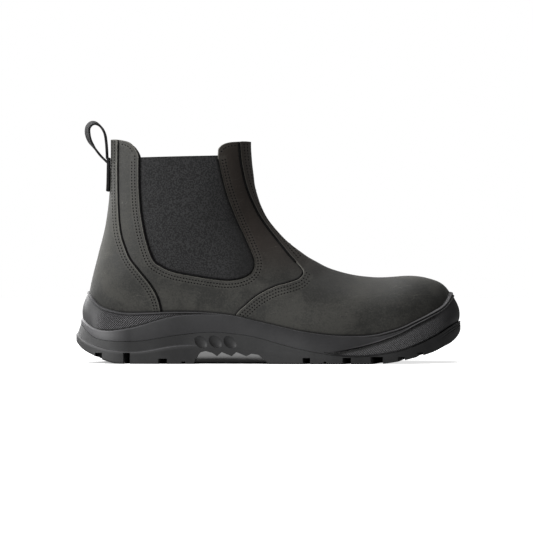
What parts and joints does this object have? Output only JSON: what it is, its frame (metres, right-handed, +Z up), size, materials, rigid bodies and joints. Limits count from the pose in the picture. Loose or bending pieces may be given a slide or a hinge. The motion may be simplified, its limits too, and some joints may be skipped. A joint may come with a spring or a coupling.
{
  "type": "side gore work boot",
  "caption": "Right pull-on work boot: hollow leather upper with elastic side gores, pull loop, insole, cupped midsole with a raised wave and lugged outsole.",
  "frame": {"origin": "on the floor, under the middle of the boot's box", "axes": "+Z up, +X towards the toe, -Y towards the outer side of the foot"},
  "size_m": [0.3074, 0.1094, 0.1926],
  "materials": {
    "leather": "charcoal oiled nubuck, matte, with soft cloudy lighter patches",
    "elastic": "black fine rib-woven elastic",
    "insole": "black needle felt",
    "midsole": "dark grey moulded foam, satin matte",
    "outsole": "dark grey moulded rubber, matte",
    "webbing": "black herringbone webbing"
  },
  "bodies": {
    "root": {"upper": "leather", "gore_outer": "elastic", "gore_inner": "elastic", "insole": "insole", "midsole": "midsole", "outsole": "outsole", "pull_loop": "webbing"}
  },
  "joints": []
}
